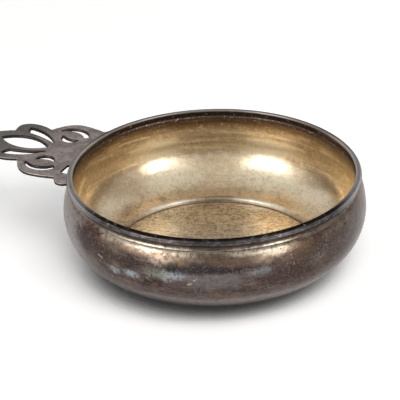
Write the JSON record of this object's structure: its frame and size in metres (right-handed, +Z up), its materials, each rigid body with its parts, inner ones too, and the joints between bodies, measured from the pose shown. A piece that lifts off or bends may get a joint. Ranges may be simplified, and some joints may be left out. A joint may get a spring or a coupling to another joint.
{
  "type": "porringer",
  "caption": "Shallow round metal porringer with a bellied bowl, a wired lip, a flat sunk base and one flat pierced scroll handle with a hanging hole.",
  "frame": {"origin": "on the bowl's axis, in the plane the flat base stands on", "axes": "+Z up out of the bowl, -X along the handle, Y across it; the plane Y = 0 cuts the handle in two equal halves"},
  "size_m": [0.1991, 0.1332, 0.0414],
  "materials": {
    "bowl_metal": "worn silver, warm gilt tone inside, dark brown and blue-grey tarnish outside",
    "wire_metal": "dark tarnished silver, polished on its crown by handling",
    "handle_metal": "dull warm grey silver with fine grain and dark edges in the piercings",
    "solder": "dull grey solder"
  },
  "bodies": {
    "root": {"bowl": "bowl_metal", "rim_wire": "wire_metal", "handle": "handle_metal", "solder_root": "solder", "solder_ear_left": "solder", "solder_ear_right": "solder"}
  },
  "joints": []
}
